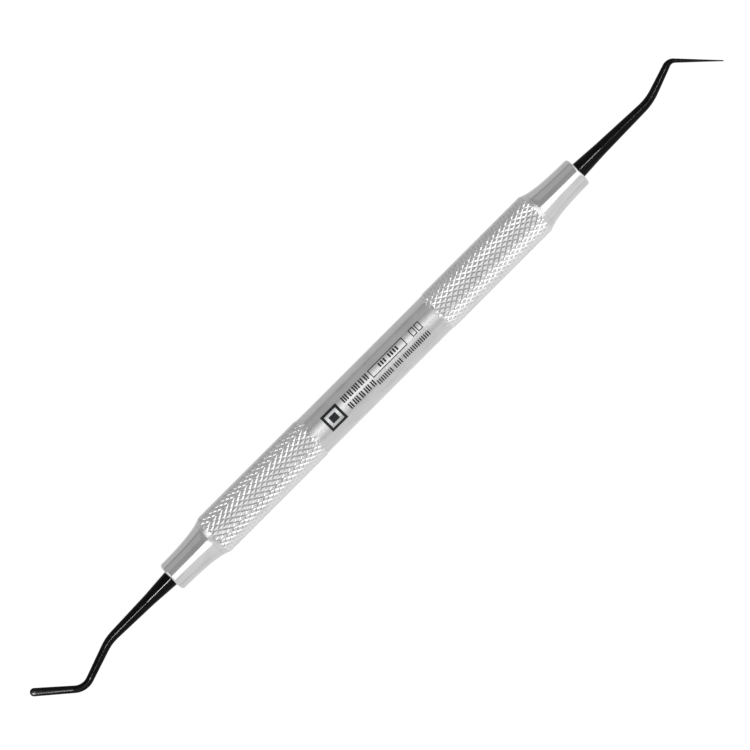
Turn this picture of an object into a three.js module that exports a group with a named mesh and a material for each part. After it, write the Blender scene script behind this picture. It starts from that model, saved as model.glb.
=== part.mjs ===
// A double-ended dental filling spatula: a hollow steel handle with two knurled grip bands, a turned
// nose cone pressed into each end of it, and a black-coated working end pressed into each cone.
// Both working ends carry the same thin round-ended blade, turned 90 degrees to each other.
//
// Millimetres. +X runs along the handle to the front end, +Y lies across it in the plane that the
// shanks are bent in, and +Z is up. The origin is under the middle of the handle, on the surface
// that the instrument lies on.

import * as THREE from "three";

// Every turned surface has this many sides, and one of them faces straight down.
const SIDES = 24;
const CORNER = 1 / Math.cos(Math.PI / SIDES); // radius to a corner over radius to a side

// Handle, as distances from its middle and radii
const GRIP_RADIUS = 4.17; // over the crests of the knurled bands, which the instrument lies on
const MIDDLE_RADIUS = 4.03; // smooth stretch between the bands
const GRIP_START = 16.0;
const GRIP_RAMP = 0.4; // length over which a band rises from the smooth stretch
const SHOULDER = 40.3; // corner where the handle starts to narrow
const SEAM = 41.5; // joint between the tube and a nose cone
const HANDLE_END = 51.2; // flat end face of a nose cone
const TUBE_BORE_RADIUS = 3.1;

// Nose cone
const NOSE_RADIUS = 2.95; // what the narrowing outline settles to
const FLARE_LENGTH = 3.0; // distance over which the flare falls to 1/e of its height
const NOSE_EDGE = 0.5; // rounding of the end face's outer edge
const SPIGOT_LENGTH = 8.0;
const SPIGOT_CHAMFER = 0.4;
const SHANK_BORE_DEPTH = 10.0;
const PRESS_GAP = 0.02; // between surfaces that are pressed together

// Working ends
const TANG_LENGTH = 9.5; // part of the shank inside a nose cone
const TANG_RADIUS = 1.56;
const TANG_CHAMFER = 0.3;
const BEND_STEPS = 6;
const TIP_STEPS = 4;
const BLADE_SQUARENESS = 2.8; // superellipse exponent of a blade's section; 2 is an ellipse
const BLADE_START = { halfWidth: 0.68, halfThickness: 0.4 };
const BLADE_END = { halfWidth: 0.76, halfThickness: 0.13 };

// Each end's root outside the cone, upper shank, gentle first bend, lower shank, sharp second bend and
// blade. Angles are in degrees, positive away from the side that the blade leans to.
const FRONT_END = {
  rootLength: 5.5,
  rootTurn: -0.7,
  rootRadius: 1.23,
  upperLength: 10.3,
  upperRadius: 0.89,
  firstBendRadius: 11.0,
  firstTurn: 20.0,
  firstRadius: 0.79,
  lowerLength: 5.06,
  lowerRadius: 0.66,
  secondBendRadius: 1.6,
  secondTurn: -64.4,
  bladeLength: 8.75,
  bladeOnEdge: true,
};
const REAR_END = {
  rootLength: 5.5,
  rootTurn: 0.15,
  rootRadius: 1.18,
  upperLength: 8.8,
  upperRadius: 0.88,
  firstBendRadius: 9.0,
  firstTurn: 18.85,
  firstRadius: 0.79,
  lowerLength: 6.16,
  lowerRadius: 0.7,
  secondBendRadius: 3.2,
  secondTurn: -59.9,
  bladeLength: 8.07,
  bladeOnEdge: false,
};

// Materials
const satinSteel = new THREE.MeshStandardMaterial({ color: 0xb4b6b8, roughness: 0.38, metalness: 1 });
const polishedSteel = new THREE.MeshStandardMaterial({ color: 0xc4c6c8, roughness: 0.18, metalness: 1 });
const blackCoating = new THREE.MeshStandardMaterial({ color: 0x141417, roughness: 0.22, metalness: 0.4 });

// Radius of the handle's outline at a distance past its shoulder.
function flareRadius(distance) {
  return NOSE_RADIUS + (GRIP_RADIUS - NOSE_RADIUS) * Math.exp(-distance / FLARE_LENGTH);
}

// The points [x, radius] of the flare between two distances from the handle's middle.
function flarePoints(from, to, steps) {
  return Array.from({ length: steps + 1 }, (_, i) => {
    const x = from + ((to - from) * i) / steps;
    return [x, flareRadius(x - SHOULDER)];
  });
}

// A solid turned about the X axis from an outline of [x, radius] points, radii measured to the sides.
function turned(outline) {
  const points = outline.map(([x, radius]) => new THREE.Vector2(radius * CORNER, x));
  return new THREE.LatheGeometry(points, SIDES, Math.PI / SIDES).rotateZ(-Math.PI / 2);
}

// The hollow tube: a smooth middle, a raised band on each side of it, and the start of each flare.
function handleTube() {
  const half = [
    [GRIP_START - GRIP_RAMP / 2, MIDDLE_RADIUS],
    [GRIP_START + GRIP_RAMP / 2, GRIP_RADIUS],
    ...flarePoints(SHOULDER, SEAM, 2),
    [SEAM, TUBE_BORE_RADIUS],
  ];
  const otherHalf = half.map(([x, radius]) => [-x, radius]).reverse();
  return turned([...otherHalf, ...half, otherHalf[0]]);
}

// A nose cone of the front end: spigot inside the tube, flare, rounded edge, end face and blind bore.
function noseCone() {
  const seam = SEAM + PRESS_GAP;
  const spigotStart = SEAM - SPIGOT_LENGTH;
  const spigotRadius = TUBE_BORE_RADIUS - PRESS_GAP;
  const boreRadius = TANG_RADIUS + PRESS_GAP;
  const edgeStart = HANDLE_END - NOSE_EDGE;
  const edgeRadius = flareRadius(edgeStart - SHOULDER);
  const roundedEdge = [30, 60, 90].map((degrees) => {
    const angle = THREE.MathUtils.degToRad(degrees);
    return [edgeStart + NOSE_EDGE * Math.sin(angle), edgeRadius - NOSE_EDGE * (1 - Math.cos(angle))];
  });
  return turned([
    [spigotStart, 0],
    [spigotStart, spigotRadius - SPIGOT_CHAMFER],
    [spigotStart + SPIGOT_CHAMFER, spigotRadius],
    [seam, spigotRadius],
    ...flarePoints(seam, edgeStart, 8),
    ...roundedEdge,
    [HANDLE_END, boreRadius],
    [HANDLE_END - SHANK_BORE_DEPTH, boreRadius],
    [HANDLE_END - SHANK_BORE_DEPTH, 0],
  ]);
}

// The runs of a working end's centreline, each with the section that it ends in. A section has two
// half sizes, one in the plane of the bends and one across it.
function workingEndRuns(end) {
  const round = (radius) => ({ inPlane: radius, across: radius, squareness: 2 });
  const flat = ({ halfWidth, halfThickness }) => ({
    inPlane: end.bladeOnEdge ? halfThickness : halfWidth,
    across: end.bladeOnEdge ? halfWidth : halfThickness,
    squareness: BLADE_SQUARENESS,
  });
  const arcLength = (radius, turn) => radius * Math.abs(THREE.MathUtils.degToRad(turn));
  const firstLength = arcLength(end.firstBendRadius, end.firstTurn);
  const secondLength = arcLength(end.secondBendRadius, end.secondTurn);
  const tipRadius = BLADE_END.halfWidth;
  const tip = Array.from({ length: TIP_STEPS }, (_, i) => {
    const from = (i * 0.5 * Math.PI) / (TIP_STEPS + 0.5);
    const to = ((i + 1) * 0.5 * Math.PI) / (TIP_STEPS + 0.5);
    const halfWidth = tipRadius * Math.cos(to);
    const halfThickness = BLADE_END.halfThickness * (0.6 + 0.4 * Math.cos(to));
    return { length: tipRadius * (Math.sin(to) - Math.sin(from)), end: flat({ halfWidth, halfThickness }) };
  });
  return [
    { length: TANG_CHAMFER, end: round(TANG_RADIUS) },
    { length: TANG_LENGTH - TANG_CHAMFER, end: round(TANG_RADIUS) },
    { length: end.rootLength, turn: end.rootTurn, steps: 2, end: round(end.rootRadius) },
    { length: end.upperLength, steps: 2, end: round(end.upperRadius) },
    { length: firstLength, turn: end.firstTurn, steps: BEND_STEPS, end: round(end.firstRadius) },
    { length: end.lowerLength, end: round(end.lowerRadius) },
    { length: secondLength, turn: end.secondTurn, steps: BEND_STEPS, end: flat(BLADE_START) },
    { length: end.bladeLength - tipRadius, steps: 2, end: flat(BLADE_END) },
    ...tip,
  ];
}

// Walks the runs in the XY plane and returns the section at every step, with its place and heading.
function walk(runs, start) {
  const sections = [{ x: 0, y: 0, heading: 0, ...start }];
  for (const { length, turn = 0, steps = 1, end } of runs) {
    const from = sections.at(-1);
    const swing = THREE.MathUtils.degToRad(turn) / steps;
    const chord = (length / steps) * (swing ? Math.sin(swing / 2) / (swing / 2) : 1);
    for (let i = 1; i <= steps; i++) {
      const last = sections.at(-1);
      const heading = last.heading + swing / 2;
      sections.push({
        x: last.x + chord * Math.cos(heading),
        y: last.y + chord * Math.sin(heading),
        heading: last.heading + swing,
        inPlane: THREE.MathUtils.lerp(from.inPlane, end.inPlane, i / steps),
        across: THREE.MathUtils.lerp(from.across, end.across, i / steps),
        squareness: THREE.MathUtils.lerp(from.squareness, end.squareness, i / steps),
      });
    }
  }
  return sections;
}

// The corner of a section at an angle around it, as offsets in the bend plane and across it.
function sectionCorner({ inPlane, across, squareness }, angle) {
  const squash = (value) => Math.sign(value) * Math.abs(value) ** (2 / squareness);
  return [inPlane * CORNER * squash(Math.cos(angle)), across * CORNER * squash(Math.sin(angle))];
}

// A closed solid lofted through the sections, with a fan over each end.
function loft(sections) {
  const positions = [];
  const triangles = [];
  for (const section of sections) {
    for (let i = 0; i < SIDES; i++) {
      const [offset, height] = sectionCorner(section, ((i + 0.5) * 2 * Math.PI) / SIDES);
      const x = section.x - offset * Math.sin(section.heading);
      const y = section.y + offset * Math.cos(section.heading);
      positions.push(x, y, height);
    }
  }
  for (let ring = 0; ring + 1 < sections.length; ring++) {
    for (let i = 0; i < SIDES; i++) {
      const a = ring * SIDES + i;
      const b = ring * SIDES + ((i + 1) % SIDES);
      triangles.push(a, b, b + SIDES, a, b + SIDES, a + SIDES);
    }
  }
  const first = positions.length / 3;
  const last = first + 1;
  const lastRing = (sections.length - 1) * SIDES;
  positions.push(sections[0].x, sections[0].y, 0);
  positions.push(sections.at(-1).x, sections.at(-1).y, 0);
  for (let i = 0; i < SIDES; i++) {
    const next = (i + 1) % SIDES;
    triangles.push(first, next, i);
    triangles.push(last, lastRing + i, lastRing + next);
  }
  const geometry = new THREE.BufferGeometry();
  geometry.setAttribute("position", new THREE.Float32BufferAttribute(positions, 3));
  geometry.setIndex(triangles);
  geometry.computeVertexNormals();
  return geometry;
}

// A working end with its tang's inner end at the origin and its shank along +X.
function workingEnd(end) {
  const tangEnd = TANG_RADIUS - TANG_CHAMFER;
  return loft(walk(workingEndRuns(end), { inPlane: tangEnd, across: tangEnd, squareness: 2 }));
}

function namedMesh(name, geometry, material) {
  const mesh = new THREE.Mesh(geometry, material);
  mesh.name = name;
  return mesh;
}

// The nose cone and working end of one end of the handle, as they sit at its front.
function headGroup(name, end) {
  const group = new THREE.Group();
  const blade = namedMesh(`${name}_working_end`, workingEnd(end), blackCoating);
  blade.position.x = HANDLE_END - TANG_LENGTH;
  group.add(namedMesh(`${name}_nose_cone`, noseCone(), polishedSteel), blade);
  return group;
}

const spatula = new THREE.Group();
const front = headGroup("front", FRONT_END);
const rear = headGroup("rear", REAR_END);
rear.rotation.z = Math.PI;
spatula.add(namedMesh("handle_tube", handleTube(), satinSteel), front, rear);
spatula.position.z = GRIP_RADIUS;

export default spatula;
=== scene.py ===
"""A double-ended dental filling spatula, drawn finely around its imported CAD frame.

The hollow steel handle gets its real diamond knurl and laser marks, the nose cones get fine rounded
outlines, and the black-coated working ends are lofted smoothly. Sizes are in millimetres until a mesh
is made. Lengths along the instrument are measured from the middle of the handle.
"""

import math

import bpy
import numpy as np
from mathutils import Euler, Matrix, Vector


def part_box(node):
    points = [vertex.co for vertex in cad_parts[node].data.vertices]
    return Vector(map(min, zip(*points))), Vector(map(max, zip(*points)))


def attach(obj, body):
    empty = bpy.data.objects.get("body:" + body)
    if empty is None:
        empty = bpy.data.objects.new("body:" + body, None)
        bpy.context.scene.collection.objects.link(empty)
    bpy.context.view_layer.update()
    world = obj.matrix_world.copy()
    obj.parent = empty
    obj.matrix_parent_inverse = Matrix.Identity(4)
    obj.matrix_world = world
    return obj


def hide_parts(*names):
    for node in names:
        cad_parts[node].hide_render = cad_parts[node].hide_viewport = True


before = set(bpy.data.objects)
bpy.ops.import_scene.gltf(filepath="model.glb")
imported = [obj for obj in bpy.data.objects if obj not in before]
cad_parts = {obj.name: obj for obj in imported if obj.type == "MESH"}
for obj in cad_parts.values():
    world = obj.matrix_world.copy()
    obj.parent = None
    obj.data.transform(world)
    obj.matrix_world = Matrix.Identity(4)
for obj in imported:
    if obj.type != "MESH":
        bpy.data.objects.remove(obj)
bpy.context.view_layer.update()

MM = 0.001

# ---------------------------------------------------------------------------------------------------
# Sizes read from the frame
# ---------------------------------------------------------------------------------------------------

TUBE_LOW, TUBE_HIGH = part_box("handle_tube")
AXIS_HEIGHT = (TUBE_LOW[2] + TUBE_HIGH[2]) / 2 / MM
GRIP_RADIUS = (TUBE_HIGH[2] - TUBE_LOW[2]) / 2 / MM
SEAM = TUBE_HIGH[0] / MM
HANDLE_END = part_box("front_nose_cone")[1][0] / MM
SPIGOT_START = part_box("front_nose_cone")[0][0] / MM
TANG_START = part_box("front_working_end")[0][0] / MM

# ---------------------------------------------------------------------------------------------------
# Driving dimensions. What the CAD source draws too has its sizes, except that the bands start 0.25 mm
# nearer to the middle and the gap between the tube and a nose cone is half as wide.
# ---------------------------------------------------------------------------------------------------

MIDDLE_RADIUS = 4.03
GRIP_START = 15.75
SHOULDER = 40.3
TUBE_BORE_RADIUS = 3.1
NOSE_RADIUS = 2.95  # what the narrowing outline settles to
FLARE_LENGTH = 3.0  # distance over which the flare falls to 1/e of its height
NOSE_EDGE = 0.5  # rounding of the end face's outer edge
SPIGOT_RADIUS = 3.08  # part of a nose cone inside the tube
SPIGOT_CHAMFER = 0.4
SHANK_BORE_RADIUS = 1.58
SHANK_BORE_DEPTH = 10.0
SHANK_BORE_CHAMFER = 0.06
SEAM_GAP = 0.01  # between the tube's end and a nose cone's shoulder
SEAM_CHAMFER = 0.01
TANG_LENGTH = HANDLE_END - TANG_START
TANG_RADIUS = 1.56
TANG_CHAMFER = 0.3
ROUND = 2.0  # superellipse exponent of a round section
BLADE_SQUARENESS = 2.8  # the same for a blade's section
BLADE_START = (0.68, 0.4)  # half width, half thickness
BLADE_END = (0.76, 0.13)
LAST_TIP_ANGLE = 84  # degrees round the blade's tip at which the loft closes

# Knurl: two families of V grooves that wind opposite ways round the handle. Each band is cut on its
# own, so a crossing of two grooves lies at its own place: mm along the handle, and grooves from the top.
KNURL_STARTS = 24
KNURL_PITCH = 1.5325  # length of a diamond along the handle
GROOVE_DEPTH = 0.185
GROOVE_HALF_WIDTH = 0.29  # as a share of the distance between two grooves
CREST_ROUNDING = 0.04  # the same share, half the width of the worn edge beside a groove
CREST_DEPTH = 0.012  # a face of a band whose centre lies less deep than this is a crest
FRONT_CROSSING = (21.01, 0.136)
REAR_CROSSING = (-39.10, 0.132)

# The tube's blank is trimmed to what lies inside two knurled rods and a plain core between them.
BLANK_ALLOWANCE = 0.1  # how far the blank's bands stand proud of the crests
BAND_RAMP = 2  # mm along the handle for each mm that the edge of a blank's band rises
CORE_ALLOWANCE = 0.2  # how far the core stands proud of the crests
CORE_MARGIN = 0.7  # from the core's end to the start of a band
ROD_MARGIN = 1.5  # from a rod's inner end to the start of a band
ROD_OVERRUN = 1.0  # from the tube's end to a rod's outer end
ROD_TIP = 2.0  # from a rod's end to the tip of the cone that closes it

TUBE_SIDES = 144
SHANK_SIDES = 64

FRONT_END = dict(
    root_length=5.5, root_turn=-0.7, root_radius=1.23,
    upper_length=10.3, upper_radius=0.89,
    first_bend_radius=11.0, first_turn=20.0, first_radius=0.79,
    lower_length=5.06, lower_radius=0.66,
    second_bend_radius=1.6, second_turn=-64.4,
    blade_length=8.75, blade_on_edge=True,
)
REAR_END = dict(
    root_length=5.5, root_turn=0.15, root_radius=1.18,
    upper_length=8.8, upper_radius=0.88,
    first_bend_radius=9.0, first_turn=18.85, first_radius=0.79,
    lower_length=6.16, lower_radius=0.7,
    second_bend_radius=3.2, second_turn=-59.9,
    blade_length=8.07, blade_on_edge=False,
)

# ---------------------------------------------------------------------------------------------------
# Materials
# ---------------------------------------------------------------------------------------------------


class Nodes:
    """A material's node tree with a Principled shader, and short calls that add nodes to it."""

    def __init__(self, name, **inputs):
        self.material = bpy.data.materials.new(name)
        self.material.use_nodes = True
        self.tree = self.material.node_tree
        self.shader = self.tree.nodes["Principled BSDF"]
        self.place = self.add("ShaderNodeTexCoord").outputs["Object"]
        for socket, value in inputs.items():
            self.shader.inputs[socket.replace("_", " ")].default_value = value

    def add(self, kind, links=(), **settings):
        node = self.tree.nodes.new(kind)
        for key, value in settings.items():
            if key in node.inputs:
                node.inputs[key].default_value = value
            else:
                setattr(node, key, value)
        for socket, source in dict(links).items():
            self.tree.links.new(source, node.inputs[socket])
        return node

    def noise(self, scale, detail=2.0, stretch=(1, 1, 1)):
        """Noise over the object, scale in cells per metre, stretched by dividing its coordinates."""
        mapping = self.add("ShaderNodeMapping", {"Vector": self.place})
        mapping.inputs["Scale"].default_value = [1 / s for s in stretch]
        links = {"Vector": mapping.outputs["Vector"]}
        return self.add("ShaderNodeTexNoise", links, Scale=scale, Detail=detail).outputs["Fac"]

    def between(self, value, low, high, start=0.3, end=0.7):
        """A number that goes from low to high as value goes from start to end."""
        ramp = self.add("ShaderNodeMapRange", {"Value": value})
        for socket, number in {"From Min": start, "From Max": end, "To Min": low, "To Max": high}.items():
            ramp.inputs[socket].default_value = number
        return ramp.outputs["Result"]

    def colour(self, value, dark, light, start=0.3, end=0.7):
        """A colour that goes from dark to light as value goes from start to end."""
        ramp = self.add("ShaderNodeValToRGB", {"Fac": value})
        for element, position, colour in zip(ramp.color_ramp.elements, (start, end), (dark, light)):
            element.position = position
            element.color = (*colour, 1)
        return ramp.outputs["Color"]

    def total(self, first, second):
        return self.add("ShaderNodeMath", {0: first, 1: second}, operation="ADD").outputs["Value"]

    def to_shader(self, **sources):
        for socket, source in sources.items():
            self.tree.links.new(source, self.shader.inputs[socket.replace("_", " ")])

    def bump(self, height, depth):
        """Surface relief from a number between 0 and 1, depth in millimetres."""
        bump = self.add("ShaderNodeBump", {"Height": height}, Strength=1.0, Distance=depth * MM)
        self.to_shader(Normal=bump.outputs["Normal"])


def steel(name, dark, light, smooth, rough, line_depth):
    """Turned stainless steel: fine lines round the axis, cloudy sheen and faint handling marks. Its
    colour lies between dark and light, and its roughness between smooth and rough."""
    nodes = Nodes(name, Metallic=1.0)
    clouds = nodes.noise(260, detail=3.0)
    lines = nodes.noise(9000, detail=2.0, stretch=(1, 60, 60))
    marks = nodes.noise(1400, detail=4.0, stretch=(5, 1, 1))
    nodes.to_shader(
        Base_Color=nodes.colour(nodes.total(clouds, marks), dark, light, 0.75, 1.25),
        Roughness=nodes.between(nodes.total(clouds, lines), smooth, rough, 0.7, 1.3),
    )
    nodes.bump(lines, line_depth)
    return nodes.material


def laser_mark():
    """Dark annealed oxide burnt into the steel by a laser, slightly grainy."""
    nodes = Nodes("laser_mark", Metallic=0.0, Specular_IOR_Level=0.15)
    grain = nodes.noise(12000, detail=1.0)
    nodes.to_shader(
        Base_Color=nodes.colour(grain, (0.006, 0.007, 0.008), (0.018, 0.019, 0.021)),
        Roughness=nodes.between(grain, 0.42, 0.6),
    )
    return nodes.material


def black_coating():
    """A hard glossy black non-stick coating over ground steel, whose grinding lines just show."""
    nodes = Nodes("black_coating", Metallic=0.0, Specular_IOR_Level=0.05)
    clouds = nodes.noise(500, detail=3.0)
    lines = nodes.noise(7000, detail=2.0, stretch=(25, 1, 1))
    nodes.to_shader(
        Base_Color=nodes.colour(clouds, (0.0016, 0.0016, 0.0018), (0.004, 0.004, 0.0045)),
        Roughness=nodes.between(nodes.total(clouds, lines), 0.09, 0.13, 0.7, 1.3),
    )
    nodes.bump(lines, 0.0002)
    return nodes.material


SATIN_STEEL = steel("satin_steel", (0.48, 0.48, 0.485), (0.53, 0.53, 0.535), 0.2, 0.3, 0.004)
KNURL_STEEL = steel("knurl_steel", (0.57, 0.57, 0.575), (0.62, 0.62, 0.625), 0.12, 0.2, 0.001)
CREST_STEEL = steel("crest_steel", (0.48, 0.48, 0.485), (0.53, 0.53, 0.535), 0.22, 0.32, 0.004)
POLISHED_STEEL = steel("polished_steel", (0.49, 0.49, 0.495), (0.53, 0.53, 0.535), 0.1, 0.16, 0.001)
LASER_MARK = laser_mark()
BLACK_COATING = black_coating()

TUBE_MATERIALS = [SATIN_STEEL, KNURL_STEEL, LASER_MARK, CREST_STEEL]
MIDDLE_SLOT, GROOVE_SLOT, MARK_SLOT, CREST_SLOT = range(len(TUBE_MATERIALS))

# ---------------------------------------------------------------------------------------------------
# Meshes
# ---------------------------------------------------------------------------------------------------


def add_piece(name, points, faces, node, materials, face_slots=None, sharp_degrees=30):
    """A mesh piece from points in millimetres about the handle's axis; it stands for a CAD node."""
    points = np.asarray(points, dtype=float) + (0.0, 0.0, AXIS_HEIGHT)
    mesh = bpy.data.meshes.new(name)
    mesh.from_pydata((points * MM).tolist(), [], faces)
    for material in materials:
        mesh.materials.append(material)
    if face_slots is not None:
        mesh.polygons.foreach_set("material_index", face_slots)
    mesh.polygons.foreach_set("use_smooth", [True] * len(mesh.polygons))
    mesh.set_sharp_from_angle(angle=math.radians(sharp_degrees))
    mesh.validate()
    piece = bpy.data.objects.new(name, mesh)
    bpy.context.scene.collection.objects.link(piece)
    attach(piece, "root")
    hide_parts(node)
    return piece


def flare_radius(x):
    """Radius of the handle's outline where it narrows past the shoulder."""
    return NOSE_RADIUS + (GRIP_RADIUS - NOSE_RADIUS) * np.exp(-(x - SHOULDER) / FLARE_LENGTH)


def hatch_marks(x, groups, bar, gap, space, low, high):
    """Groups of thin upright bars from x on, one group for each count, with a space between groups."""
    marks = []
    for count in groups:
        for _ in range(count):
            marks.append((x, x + bar, low, high))
            x += bar + gap
        x += space - gap
    return marks


def frame_marks(left, right, low, high, stroke):
    """The four sides of an outlined box; upright strokes are as wide as one row is high."""
    return [
        (left, right, low, low + stroke),
        (left, right, high - stroke, high),
        (left, left + stroke * ROW, low + stroke, high - stroke),
        (right - stroke * ROW, right, low + stroke, high - stroke),
    ]


ROW = 2 * math.pi * MIDDLE_RADIUS / TUBE_SIDES

# Laser marks on the smooth middle: plain boxes and groups of bars. Each is a rectangle of x from, x to
# (mm) and row from, row to, rows being counted in sides of the tube from its top towards +Y.
MARKS = [
    *frame_marks(-12.4, -8.6, -12, 8, 3),
    (-11.3, -9.7, -6, 2),
    *hatch_marks(-7.4, [3, 2, 3, 2, 2], 0.29, 0.17, 0.4, 1, 8),
    *hatch_marks(-7.2, [2, 3, 2, 3, 2], 0.29, 0.17, 0.4, -9, -2),
    *frame_marks(-0.6, 7.9, -2, 8, 1),
    *hatch_marks(1.6, [3, 4], 0.34, 0.28, 0.8, 1, 6),
    *hatch_marks(-0.6, [8, 4, 14], 0.24, 0.22, 0.7, -12, -6),
    *frame_marks(9.5, 10.6, -1, 8, 1),
    *frame_marks(10.9, 12.0, -1, 8, 1),
]


def revolve(outline):
    """Points and faces of an outline of (x, radius) turned about the X axis. An outline that starts on
    the axis ends on it too, and any other outline closes on itself."""
    angles = 2 * math.pi * np.arange(TUBE_SIDES) / TUBE_SIDES
    on_axis = outline[0][1] == 0
    rings = outline[1:-1] if on_axis else outline
    x, radius = np.array(rings)[:, :, None].transpose(1, 0, 2)
    points = np.stack(np.broadcast_arrays(x, radius * np.sin(angles), radius * np.cos(angles)), axis=-1)
    points = points.reshape(-1, 3)
    count = len(rings)
    faces = []
    for k in range(count - 1 if on_axis else count):
        start, following = k * TUBE_SIDES, (k + 1) % count * TUBE_SIDES
        for i in range(TUBE_SIDES):
            after = (i + 1) % TUBE_SIDES
            faces.append((start + i, following + i, following + after, start + after))
    if on_axis:
        first, last = len(points), len(points) + 1
        points = np.concatenate([points, [(outline[0][0], 0, 0), (outline[-1][0], 0, 0)]])
        end = (count - 1) * TUBE_SIDES
        for i in range(TUBE_SIDES):
            after = (i + 1) % TUBE_SIDES
            faces.append((first, i, after))
            faces.append((end + i, last, end + after))
    return points, faces


def groove_lines(first, last):
    """Where the mesh lines of one family of grooves lie, and how deep the groove is at each line."""
    w, r = GROOVE_HALF_WIDTH, CREST_ROUNDING
    places = [(0.0, 1.0), (w - r, r / w), (w + r, 0.0), (1 - w - r, 0.0), (1 - w + r, r / w)]
    return [(n + place, share) for n in range(first, last) for place, share in places]


def knurled_rod(start, end, crossing):
    """Points and faces of a closed rod that is knurled from start to end, with a cone past each end.

    A place on it is given by u and v, which count the grooves of the two families. Half their sum runs
    along the handle and half their difference round it."""
    per_groove = len(groove_lines(0, 1))
    per_turn = per_groove * KNURL_STARTS
    first = math.floor(2 * (start - crossing[0]) / KNURL_PITCH) - KNURL_STARTS
    last = math.ceil(2 * (end - crossing[0]) / KNURL_PITCH)
    points, numbers = [], {}
    for i, (u, share_u) in enumerate(groove_lines(0, KNURL_STARTS)):
        for j, (v, share_v) in enumerate(groove_lines(first, last), first * per_groove):
            x = crossing[0] + KNURL_PITCH * (u + v) / 2
            if start <= x <= end:
                angle = 2 * math.pi * ((u - v) / 2 + crossing[1]) / KNURL_STARTS
                radius = GRIP_RADIUS - GROOVE_DEPTH * max(share_u, share_v)
                numbers[i, j] = len(points)
                points.append((x, radius * math.sin(angle), radius * math.cos(angle)))

    def at(i, j):
        """The point on line i of one family and line j of the other; a full turn comes back to it."""
        turns = i // per_turn
        return numbers.get((i - turns * per_turn, j + turns * per_turn))

    # Walls of the two families meet along a square's a-c line, except in these squares, along b-d.
    creases_across = ({0, per_groove - 1}, {1, per_groove - 2})
    faces = []
    for i, j in numbers:
        a, b, c, d = at(i, j), at(i + 1, j), at(i + 1, j + 1), at(i, j + 1)
        if None not in (a, b, c, d):
            crosses = {i % per_groove, j % per_groove} in creases_across
            faces += [(a, d, b), (b, d, c)] if crosses else [(a, c, b), (a, d, c)]
    edges = {(face[k], face[(k + 1) % 3]) for face in faces for k in range(3)}
    open_edges = [(p, q) for p, q in edges if (q, p) not in edges]
    for tip in (start - ROD_TIP, end + ROD_TIP):
        points.append((tip, 0, 0))
        near = [(p, q) for p, q in open_edges if abs(points[p][0] - tip) < 2 * ROD_TIP]
        faces += [(q, p, len(points) - 1) for p, q in near]
    return np.array(points), faces


def solid(points, faces):
    """A scratch object for boolean cuts, in millimetres."""
    mesh = bpy.data.meshes.new("solid")
    mesh.from_pydata(np.asarray(points).tolist(), [], faces)
    piece = bpy.data.objects.new("solid", mesh)
    bpy.context.scene.collection.objects.link(piece)
    return piece


def combine(base, operation, other):
    """Joins or cuts two scratch solids; what is left is the base."""
    modifier = base.modifiers.new("combine", "BOOLEAN")
    modifier.solver = "MANIFOLD"
    modifier.operation = operation
    modifier.object = other
    depsgraph = bpy.context.evaluated_depsgraph_get()
    mesh = bpy.data.meshes.new_from_object(base.evaluated_get(depsgraph))
    base.modifiers.clear()
    base.data = mesh
    bpy.data.objects.remove(other)


def handle_tube():
    """The hollow tube: its turned blank keeps what the knurling leaves of it."""
    core_end = GRIP_START - CORE_MARGIN
    core_radius = GRIP_RADIUS + CORE_ALLOWANCE
    core = [(-core_end, 0), (-core_end, core_radius), (core_end, core_radius), (core_end, 0)]
    inner_end, outer_end = GRIP_START - ROD_MARGIN, SEAM + ROD_OVERRUN
    knurled = solid(*revolve(core))
    combine(knurled, "UNION", solid(*knurled_rod(inner_end, outer_end, FRONT_CROSSING)))
    combine(knurled, "UNION", solid(*knurled_rod(-outer_end, -inner_end, REAR_CROSSING)))
    tube = solid(*revolve(handle_outline()))
    combine(tube, "INTERSECT", knurled)
    mesh = tube.data
    points = np.array([vertex.co for vertex in mesh.vertices])
    faces = [tuple(face.vertices) for face in mesh.polygons]
    centres = [face.center for face in mesh.polygons]
    bpy.data.objects.remove(tube)
    slots = [face_slot(*centre) for centre in centres]
    add_piece(
        "knurled_handle_tube", points, faces, "handle_tube", TUBE_MATERIALS, face_slots=slots
    )


def face_slot(x, y, z):
    """The material slot of a face of the tube, found from its centre: the middle's steel, the grooves',
    a laser mark or the satin crests between the grooves."""
    if abs(x) > GRIP_START:
        crest = min(GRIP_RADIUS, flare_radius(abs(x))) - CREST_DEPTH
        return CREST_SLOT if math.hypot(y, z) > crest else GROOVE_SLOT
    row = math.atan2(y, z) / (2 * math.pi) * TUBE_SIDES
    outside = math.hypot(y, z) > (MIDDLE_RADIUS + TUBE_BORE_RADIUS) / 2
    marked = any(left < x < right and low < row < high for left, right, low, high in MARKS)
    return MARK_SLOT if outside and marked else MIDDLE_SLOT


def handle_outline():
    """The turned outside of the tube's blank from the rear to the front, then its bore."""
    blank = GRIP_RADIUS + BLANK_ALLOWANCE
    shoulder = SHOULDER - FLARE_LENGTH * math.log((blank - NOSE_RADIUS) / (GRIP_RADIUS - NOSE_RADIUS))
    flare = [(x, flare_radius(x)) for x in np.linspace(shoulder, SEAM - SEAM_CHAMFER, 16)]
    front = [
        (GRIP_START, MIDDLE_RADIUS),
        (GRIP_START + BAND_RAMP * (blank - MIDDLE_RADIUS), blank),
        *flare,
        (SEAM, flare_radius(SEAM) - SEAM_CHAMFER),
    ]
    rear = [(-x, radius) for x, radius in reversed(front)]
    middle = [(x, MIDDLE_RADIUS) for x in middle_places()]
    return rear + middle + front + [(SEAM, TUBE_BORE_RADIUS), (-SEAM, TUBE_BORE_RADIUS)]


def middle_places():
    """Where the smooth middle's rings lie: at every edge of a mark, and at even steps in between."""
    edges = {round(edge, 3) for mark in MARKS for edge in mark[:2]}
    edges |= {round(x, 3) for x in np.linspace(-GRIP_START, GRIP_START, 23)[1:-1]}
    return sorted(edges)


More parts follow.
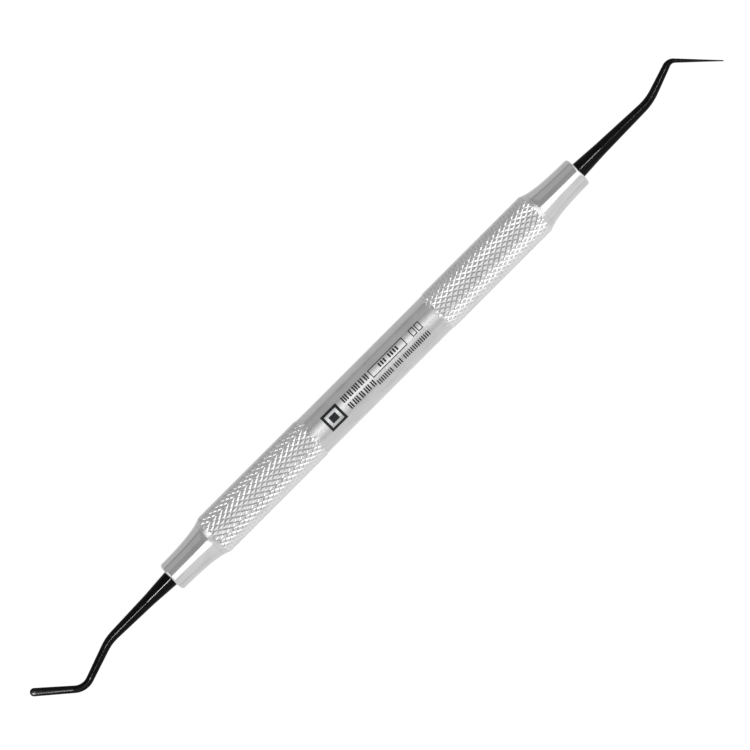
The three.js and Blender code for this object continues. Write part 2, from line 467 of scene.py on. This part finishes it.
def nose_outline():
    """Spigot, seam, flare, rounded edge, end face and blind bore of a nose cone at the front."""
    seam = SEAM + SEAM_GAP
    edge_start = HANDLE_END - NOSE_EDGE
    edge_radius = flare_radius(edge_start)
    flare = [(x, flare_radius(x)) for x in np.linspace(seam + SEAM_CHAMFER, edge_start, 40)]
    edge = [
        (edge_start + NOSE_EDGE * math.sin(a), edge_radius - NOSE_EDGE * (1 - math.cos(a)))
        for a in np.linspace(0, math.pi / 2, 13)[1:]
    ]
    return [
        (SPIGOT_START, 0),
        (SPIGOT_START, SPIGOT_RADIUS - SPIGOT_CHAMFER),
        (SPIGOT_START + SPIGOT_CHAMFER, SPIGOT_RADIUS),
        (seam, SPIGOT_RADIUS),
        (seam, flare_radius(seam) - SEAM_CHAMFER),
        *flare,
        *edge,
        (HANDLE_END, SHANK_BORE_RADIUS + SHANK_BORE_CHAMFER),
        (HANDLE_END - SHANK_BORE_CHAMFER, SHANK_BORE_RADIUS),
        (HANDLE_END - SHANK_BORE_DEPTH, SHANK_BORE_RADIUS),
        (HANDLE_END - SHANK_BORE_DEPTH, 0),
    ]


def end_sections(end):
    """Sections along a working end. Each has its place, its heading and its size: half its width in the
    plane of the bends, half its width across it, and the exponent that says how square it is."""

    def round_section(radius):
        return (radius, radius, ROUND)

    def flat_section(half_width, half_thickness):
        sizes = (half_thickness, half_width) if end["blade_on_edge"] else (half_width, half_thickness)
        return (*sizes, BLADE_SQUARENESS)

    first_turn = math.radians(end["first_turn"])
    second_turn = math.radians(end["second_turn"])
    tip_radius = BLADE_END[0]
    # Each run has its length, the angle it turns, its steps and the size of the section it ends with.
    runs = [
        (TANG_CHAMFER, 0, 1, round_section(TANG_RADIUS)),
        (TANG_LENGTH - TANG_CHAMFER, 0, 2, round_section(TANG_RADIUS)),
        (end["root_length"], math.radians(end["root_turn"]), 10, round_section(end["root_radius"])),
        (end["upper_length"], 0, 16, round_section(end["upper_radius"])),
        (end["first_bend_radius"] * abs(first_turn), first_turn, 14, round_section(end["first_radius"])),
        (end["lower_length"], 0, 8, round_section(end["lower_radius"])),
        (end["second_bend_radius"] * abs(second_turn), second_turn, 20, flat_section(*BLADE_START)),
        (end["blade_length"] - tip_radius, 0, 16, flat_section(*BLADE_END)),
    ]
    tip_angles = np.radians(np.linspace(0, LAST_TIP_ANGLE, 15))
    for before, angle in zip(tip_angles, tip_angles[1:]):
        thickness = BLADE_END[1] * (0.5 + 0.5 * math.sqrt(math.cos(angle)))
        section = flat_section(tip_radius * math.cos(angle), thickness)
        runs.append((tip_radius * (math.sin(angle) - math.sin(before)), 0, 1, section))

    place, heading = np.array([TANG_START, 0.0]), 0.0
    size = np.array(round_section(TANG_RADIUS - TANG_CHAMFER))
    sections = [(place, heading, size)]
    for length, turn, steps, end_size in runs:
        start_size = size
        swing = turn / steps
        chord = length / steps * (math.sin(swing / 2) / (swing / 2) if swing else 1)
        for i in range(1, steps + 1):
            along = heading + swing / 2
            place = place + chord * np.array([math.cos(along), math.sin(along)])
            heading += swing
            size = start_size + (np.array(end_size) - start_size) * i / steps
            sections.append((place, heading, size))
    return sections


def working_end(name, end, node, facing):
    """One smooth closed loft of a tang, shank and blade; facing is 1 for the front end, -1 the rear."""
    angles = 2 * math.pi * np.arange(SHANK_SIDES) / SHANK_SIDES
    points = []
    for (x, y), heading, (in_plane, across, squareness) in end_sections(end):
        power = 2 / squareness
        offset = in_plane * np.sign(np.cos(angles)) * np.abs(np.cos(angles)) ** power
        height = across * np.sign(np.sin(angles)) * np.abs(np.sin(angles)) ** power
        ring_x = x - offset * math.sin(heading)
        ring_y = y + offset * math.cos(heading)
        points.append(np.column_stack([facing * ring_x, facing * ring_y, height]))
    points = np.concatenate(points)
    faces = [tuple(range(SHANK_SIDES))[::-1]]
    for start in range(0, len(points) - SHANK_SIDES, SHANK_SIDES):
        for i in range(SHANK_SIDES):
            after = (i + 1) % SHANK_SIDES
            faces.append((start + i, start + after, start + SHANK_SIDES + after, start + SHANK_SIDES + i))
    faces.append(tuple(range(len(points) - SHANK_SIDES, len(points))))
    return add_piece(name, points, faces, node, [BLACK_COATING], sharp_degrees=50)


def nose_cone(name, node, facing):
    """A turned nose cone; facing is 1 for the front end, -1 for the rear."""
    points, faces = revolve(nose_outline())
    points = points * (facing, facing, 1)
    add_piece(name, points, faces, node, [POLISHED_STEEL])


handle_tube()
nose_cone("front_nose_cone_turned", "front_nose_cone", 1)
nose_cone("rear_nose_cone_turned", "rear_nose_cone", -1)
COATED_ENDS = [
    working_end("front_working_end_coated", FRONT_END, "front_working_end", 1),
    working_end("rear_working_end_coated", REAR_END, "rear_working_end", -1),
]

# ---------------------------------------------------------------------------------------------------
# Floor, lights and camera
# ---------------------------------------------------------------------------------------------------

# The stage and the picture are measured in metres and degrees, the lens and its sensor in millimetres.
TABLE_HALF = 3.0
TABLE_GLOW = 0.9
# A dimmer sheet hidden from the camera: painted shade, a darker floor that only the steel reflects on the
# +Y side.
PAINTED_SHADE_SHEET = ((-0.2, 0.007), (0.2, 0.4))  # its two corners, beside the handle on the +Y side
PAINTED_SHADE_SHEET_HEIGHT = 0.0002
PAINTED_SHADE_SHEET_GLOW = 0.62
SHEET_GREY = 0.15
WORLD_STRENGTH = 0.5
LAMP_DISTANCE = 1.0
STRIP_RADIANCE = 260
VIEW_WIDTH = 0.1335  # width of the picture at the height of the handle's axis
VIEW_CENTRE = (-0.00006, -0.00012)
VIEW_TURN = -45  # brings the handle from level to lower left and upper right
FOCAL_LENGTH = 200
SENSOR_WIDTH = 36

SCENE = bpy.context.scene
SCENE.view_settings.view_transform = "Standard"


def lit_sheet(name, low, high, height, glow):
    """A grey matt sheet between two corners (x, y) that also glows by itself."""
    mesh = bpy.data.meshes.new(name)
    corners = [(low[0], low[1]), (high[0], low[1]), (high[0], high[1]), (low[0], high[1])]
    mesh.from_pydata([(*corner, height) for corner in corners], [], [(0, 1, 2, 3)])
    sheet = bpy.data.objects.new(name, mesh)
    SCENE.collection.objects.link(sheet)
    grey = (SHEET_GREY, SHEET_GREY, SHEET_GREY, 1)
    nodes = Nodes(name, Base_Color=grey, Roughness=1.0, Specular_IOR_Level=0.0)
    nodes.shader.inputs["Emission Color"].default_value = (1, 1, 1, 1)
    nodes.shader.inputs["Emission Strength"].default_value = glow
    mesh.materials.append(nodes.material)
    return sheet


def light_table():
    """A white floor whose glow keeps shadows faint, and a dimmer glowing sheet, seen only in the steel,
    that paints the floor's shade into its reflection on the +Y side.
    """
    lit_sheet("light_table", (-TABLE_HALF, -TABLE_HALF), (TABLE_HALF, TABLE_HALF), 0, TABLE_GLOW)
    # Painted shade: this dimmer sheet shows only in the steel's reflection, not to the camera, diffuse
    # light or shadows.
    sheet = lit_sheet("painted_shade_sheet", *PAINTED_SHADE_SHEET, PAINTED_SHADE_SHEET_HEIGHT, PAINTED_SHADE_SHEET_GLOW)
    sheet.visible_camera = False
    sheet.visible_diffuse = False
    sheet.visible_shadow = False


def softbox(name, axial, transverse, radiance, diffuse=True):
    """A rectangular light aimed at the handle's middle. It spans two ranges of angles from straight up:
    axial, towards the front end, and transverse, towards -Y."""
    length, width = (
        2 * LAMP_DISTANCE * math.tan(math.radians(high - low) / 2) for low, high in (axial, transverse)
    )
    width *= math.cos(math.radians(sum(axial) / 2))
    light = bpy.data.lights.new(name, "AREA")
    light.shape = "RECTANGLE"
    light.size = length
    light.size_y = width
    light.energy = radiance * math.pi * length * width
    lamp = bpy.data.objects.new(name, light)
    along, across = math.radians(sum(axial) / 2), math.radians(sum(transverse) / 2)
    turn = Euler((across, 0, 0)).to_matrix() @ Euler((0, along, 0)).to_matrix()
    lamp.location = turn @ Vector((0, 0, LAMP_DISTANCE))
    lamp.rotation_euler = turn.to_euler()
    lamp.visible_camera = False
    lamp.visible_diffuse = diffuse
    SCENE.collection.objects.link(lamp)
    return lamp


def lights():
    """A dim white surround, soft boxes for the steel, and two narrow lamps for the coated ends alone."""
    world = bpy.data.worlds.new("studio")
    world.use_nodes = True
    background = world.node_tree.nodes["Background"]
    background.inputs["Color"].default_value = (1, 1, 1, 1)
    background.inputs["Strength"].default_value = WORLD_STRENGTH
    SCENE.world = world
    softbox("top_middle", (-5, 5), (-18, 5), 1.25)
    softbox("top_middle_left", (-5, 5), (-33, -18), 0.45)
    softbox("right_middle", (-5, 5), (5, 55), 0.1)
    softbox("low_middle", (-5, 5), (55, 90), 0.5)
    softbox("top_front", (5, 36), (-5, 30), 1.6)
    softbox("top_rear", (-34, -5), (-5, 30), 1.85)
    softbox("right_front", (5, 42), (28, 90), 0.65)
    softbox("right_rear", (-42, -5), (28, 90), 0.65)
    softbox("front_wing", (38, 56), (-34, -5), 2.1)
    softbox("rear_wing", (-54, -38), (-58, -17), 2.4)
    softbox("front_end", (52, 78), (8, 90), 1.3)
    softbox("front_streaks", (38, 56), (-5, 48), 1.25)
    softbox("front_end_left", (42, 78), (-70, 8), 0.6)
    softbox("rear_end", (-78, -52), (-35, 90), 0.85)
    softbox("left_side", (-28, 28), (-75, -40), 0.15)

    coated = bpy.data.collections.new("coated_ends")
    for piece in COATED_ENDS:
        coated.objects.link(piece)
    strips = [
        softbox("rear_strip", (-17, -12), (0.5, 8), STRIP_RADIANCE, diffuse=False),
        softbox("front_strip", (14, 15.6), (-4, 5), STRIP_RADIANCE, diffuse=False),
    ]
    for strip in strips:
        strip.light_linking.receiver_collection = coated


def camera():
    """Looks straight down, with the handle running from lower left to upper right."""
    data = bpy.data.cameras.new("camera")
    data.lens = FOCAL_LENGTH
    data.sensor_width = SENSOR_WIDTH
    data.clip_start, data.clip_end = 0.01, 20
    view = bpy.data.objects.new("camera", data)
    view.location = (*VIEW_CENTRE, AXIS_HEIGHT * MM + VIEW_WIDTH * FOCAL_LENGTH / SENSOR_WIDTH)
    view.rotation_euler = (0, 0, math.radians(VIEW_TURN))
    SCENE.collection.objects.link(view)
    SCENE.camera = view


light_table()
lights()
camera()
